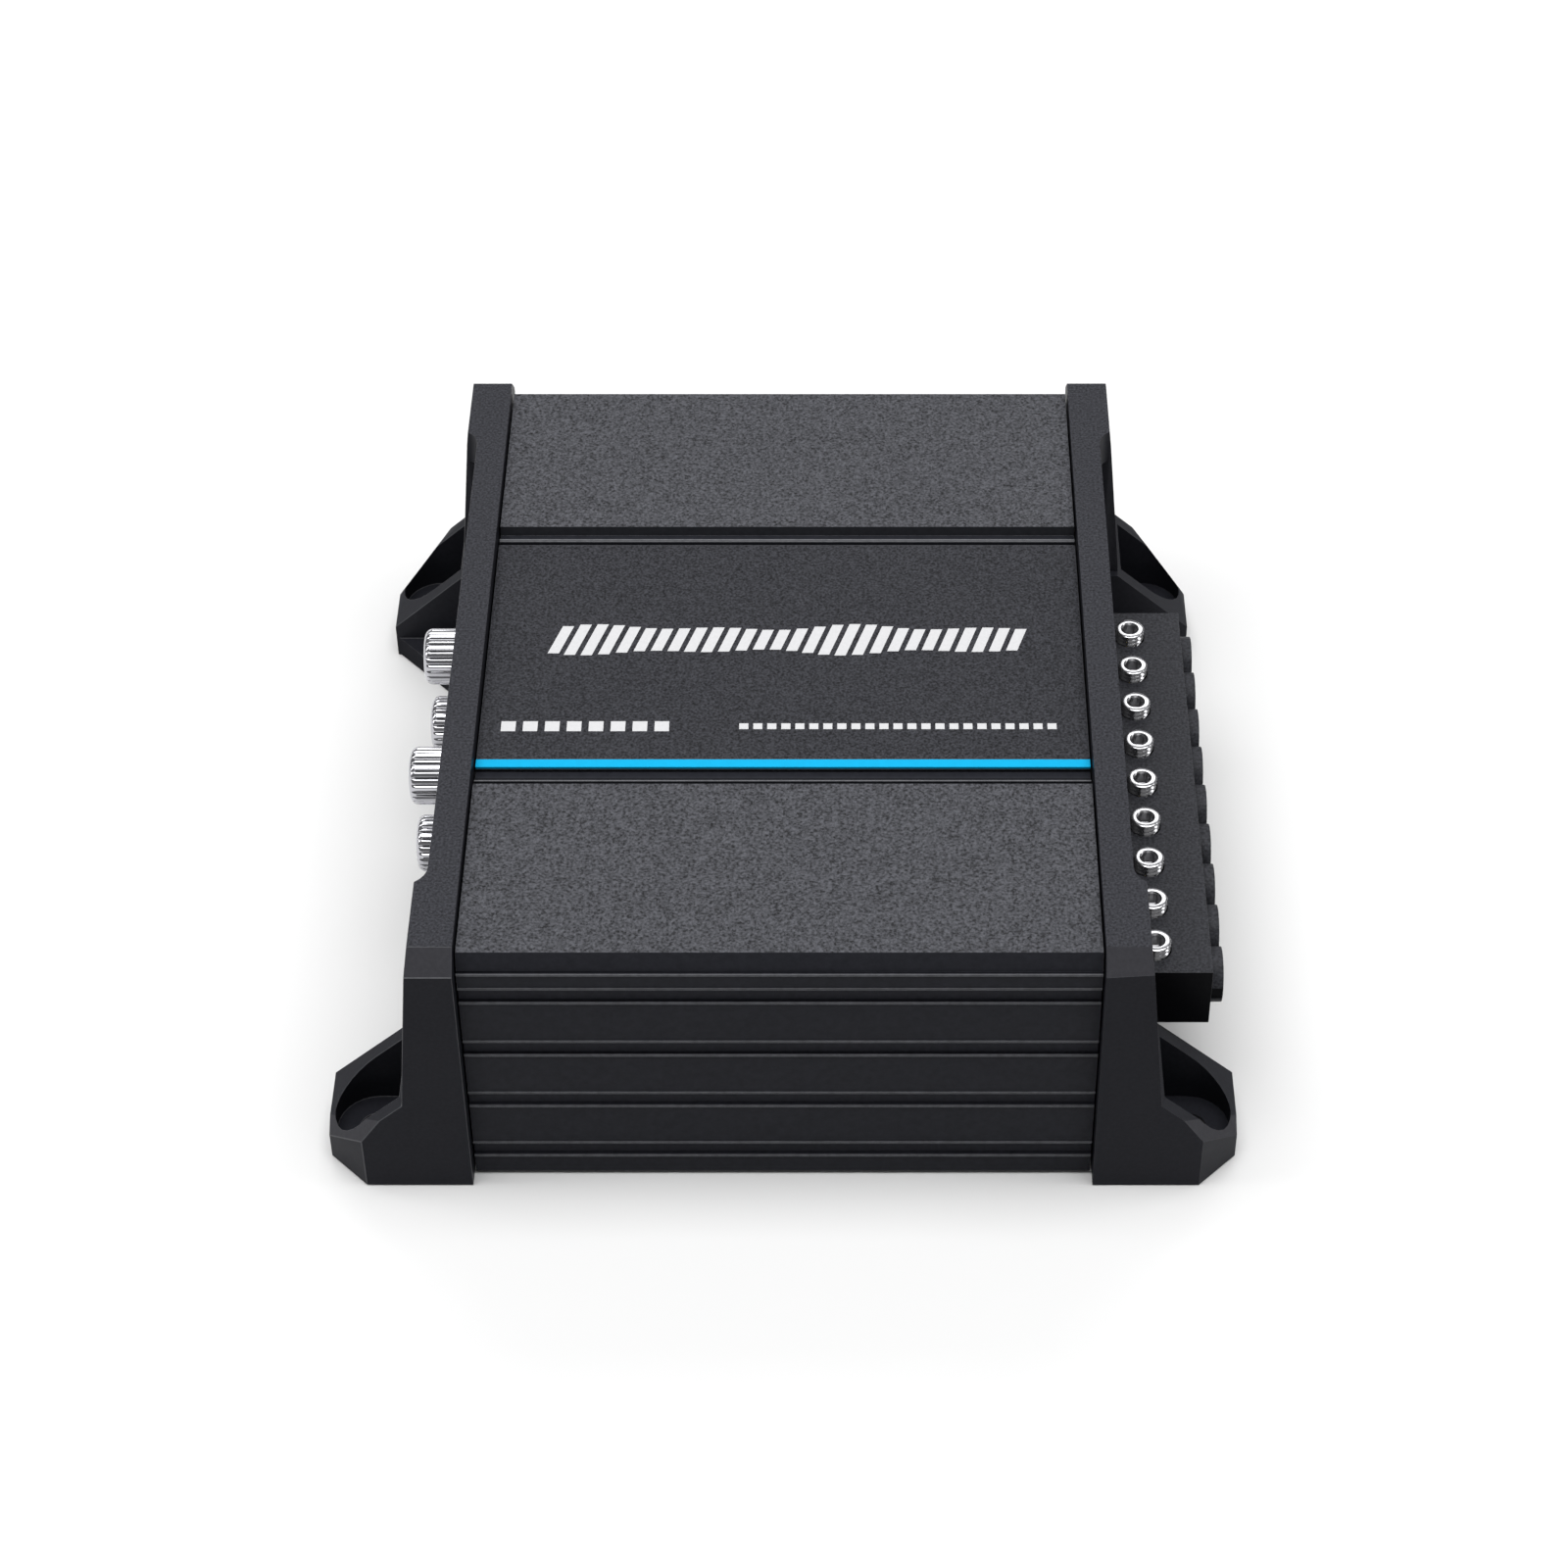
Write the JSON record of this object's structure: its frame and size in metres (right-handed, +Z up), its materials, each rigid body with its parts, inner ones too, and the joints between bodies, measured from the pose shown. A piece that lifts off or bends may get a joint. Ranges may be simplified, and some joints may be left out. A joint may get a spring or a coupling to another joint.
{
  "type": "car amplifier",
  "caption": "Compact car audio amplifier: ribbed aluminium body between moulded end caps with screw-down feet, phono jacks on one side and a screw terminal block on the other.",
  "frame": {"origin": "on the ground under the middle of the amplifier", "axes": "+X to the terminal block's side, +Y to the rear, +Z up"},
  "size_m": [0.1476, 0.1482, 0.0521],
  "materials": {
    "extrusion_black": "fine-textured black powder coat on an aluminium extrusion",
    "moulded_black": "satin injection-moulded black",
    "badge_black": "fine-textured black coat on aluminium",
    "accent_blue": "plain blue stripe, satin gloss",
    "sheet_steel": "zinc-plated sheet",
    "sheet_black": "matt black painted sheet",
    "chrome": "bright nickel-chrome",
    "insulator": "moulded insulator",
    "pot_case": "tinned steel",
    "knob_black": "satin black",
    "switch_lever": "satin black",
    "led_lens": "clear-tinted lens",
    "terminal_black": "fine-grained moulded black",
    "brass": "machined brass",
    "plated_screw": "bright nickel-plated steel",
    "zinc_black": "black zinc-plated steel",
    "board_green": "green solder mask",
    "ferrite": "sintered ferrite",
    "copper": "enamelled copper wire",
    "capacitor_sleeve": "shrink sleeve",
    "bare_aluminium": "mill finish"
  },
  "bodies": {
    "root": {"heatsink_body": "extrusion_black", "bottom_plate": "sheet_steel", "badge_panel": "badge_black", "accent_strip": "accent_blue", "input_panel": "sheet_black", "output_panel": "sheet_black", "terminal_block": "terminal_black", "power_led": "led_lens", "circuit_board": "board_green", "transformer_core": "ferrite", "transformer_winding": "copper", "bulk_capacitor": "capacitor_sleeve", "output_choke": "copper", "heat_spreader_bar": "bare_aluminium", "end_cap_left": "moulded_black", "cap_screw_left_front_upper": "zinc_black", "cap_screw_left_front_lower": "zinc_black", "cap_screw_left_rear_upper": "zinc_black", "cap_screw_left_rear_lower": "zinc_black", "end_cap_right": "moulded_black", "cap_screw_right_front_upper": "zinc_black", "cap_screw_right_front_lower": "zinc_black", "cap_screw_right_rear_upper": "zinc_black", "cap_screw_right_rear_lower": "zinc_black", "phono_housing_front": "insulator", "phono_shell_front_lower": "chrome", "phono_shell_front_upper": "chrome", "level_pot_front": "pot_case", "crossover_pot_front": "pot_case", "filter_switch_case_front": "pot_case", "phono_housing_rear": "insulator", "phono_shell_rear_lower": "chrome", "phono_shell_rear_upper": "chrome", "level_pot_rear": "pot_case", "crossover_pot_rear": "pot_case", "filter_switch_case_rear": "pot_case", "terminal_clamp_1": "brass", "terminal_clamp_2": "brass", "terminal_clamp_3": "brass", "terminal_clamp_4": "brass", "terminal_clamp_5": "brass", "terminal_clamp_6": "brass", "terminal_clamp_7": "brass", "terminal_clamp_8": "brass", "terminal_clamp_9": "brass"},
    "terminal_screw_1": {"terminal_screw_1": "plated_screw"},
    "terminal_screw_2": {"terminal_screw_2": "plated_screw"},
    "terminal_screw_3": {"terminal_screw_3": "plated_screw"},
    "terminal_screw_4": {"terminal_screw_4": "plated_screw"},
    "terminal_screw_5": {"terminal_screw_5": "plated_screw"},
    "terminal_screw_6": {"terminal_screw_6": "plated_screw"},
    "terminal_screw_7": {"terminal_screw_7": "plated_screw"},
    "terminal_screw_8": {"terminal_screw_8": "plated_screw"},
    "terminal_screw_9": {"terminal_screw_9": "plated_screw"},
    "level_knob_front": {"level_knob_front": "knob_black"},
    "level_knob_rear": {"level_knob_rear": "knob_black"},
    "crossover_knob_front": {"crossover_knob_front": "knob_black"},
    "crossover_knob_rear": {"crossover_knob_rear": "knob_black"},
    "filter_switch_lever_front": {"filter_switch_lever_front": "switch_lever"},
    "filter_switch_lever_rear": {"filter_switch_lever_rear": "switch_lever"}
  },
  "joints": [
    {"name": "terminal_screw_1_travel", "type": "slide", "parent": "root", "child": "terminal_screw_1", "axis": [0, 0, -1], "range_m": [0, 0.004]},
    {"name": "terminal_screw_2_travel", "type": "slide", "parent": "root", "child": "terminal_screw_2", "axis": [0, 0, -1], "range_m": [0, 0.004]},
    {"name": "terminal_screw_3_travel", "type": "slide", "parent": "root", "child": "terminal_screw_3", "axis": [0, 0, -1], "range_m": [0, 0.004]},
    {"name": "terminal_screw_4_travel", "type": "slide", "parent": "root", "child": "terminal_screw_4", "axis": [0, 0, -1], "range_m": [0, 0.004]},
    {"name": "terminal_screw_5_travel", "type": "slide", "parent": "root", "child": "terminal_screw_5", "axis": [0, 0, -1], "range_m": [0, 0.004]},
    {"name": "terminal_screw_6_travel", "type": "slide", "parent": "root", "child": "terminal_screw_6", "axis": [0, 0, -1], "range_m": [0, 0.004]},
    {"name": "terminal_screw_7_travel", "type": "slide", "parent": "root", "child": "terminal_screw_7", "axis": [0, 0, -1], "range_m": [0, 0.004]},
    {"name": "terminal_screw_8_travel", "type": "slide", "parent": "root", "child": "terminal_screw_8", "axis": [0, 0, -1], "range_m": [0, 0.004]},
    {"name": "terminal_screw_9_travel", "type": "slide", "parent": "root", "child": "terminal_screw_9", "axis": [0, 0, -1], "range_m": [0, 0.004]},
    {"name": "level_knob_front_turn", "type": "hinge", "parent": "root", "child": "level_knob_front", "pos_m": [-0.0506, -0.027, 0.0185], "axis": [1, 0, 0], "range_deg": [-140, 140]},
    {"name": "level_knob_rear_turn", "type": "hinge", "parent": "root", "child": "level_knob_rear", "pos_m": [-0.0506, 0.027, 0.0185], "axis": [1, 0, 0], "range_deg": [-140, 140]},
    {"name": "crossover_knob_front_turn", "type": "hinge", "parent": "root", "child": "crossover_knob_front", "pos_m": [-0.0506, -0.05, 0.0185], "axis": [1, 0, 0], "range_deg": [-140, 140]},
    {"name": "crossover_knob_rear_turn", "type": "hinge", "parent": "root", "child": "crossover_knob_rear", "pos_m": [-0.0506, 0.05, 0.0185], "axis": [1, 0, 0], "range_deg": [-140, 140]},
    {"name": "filter_switch_front_slide", "type": "slide", "parent": "root", "child": "filter_switch_lever_front", "axis": [0, 1, 0], "range_m": [-0.0024, 0.0024]},
    {"name": "filter_switch_rear_slide", "type": "slide", "parent": "root", "child": "filter_switch_lever_rear", "axis": [0, 1, 0], "range_m": [-0.0024, 0.0024]}
  ]
}
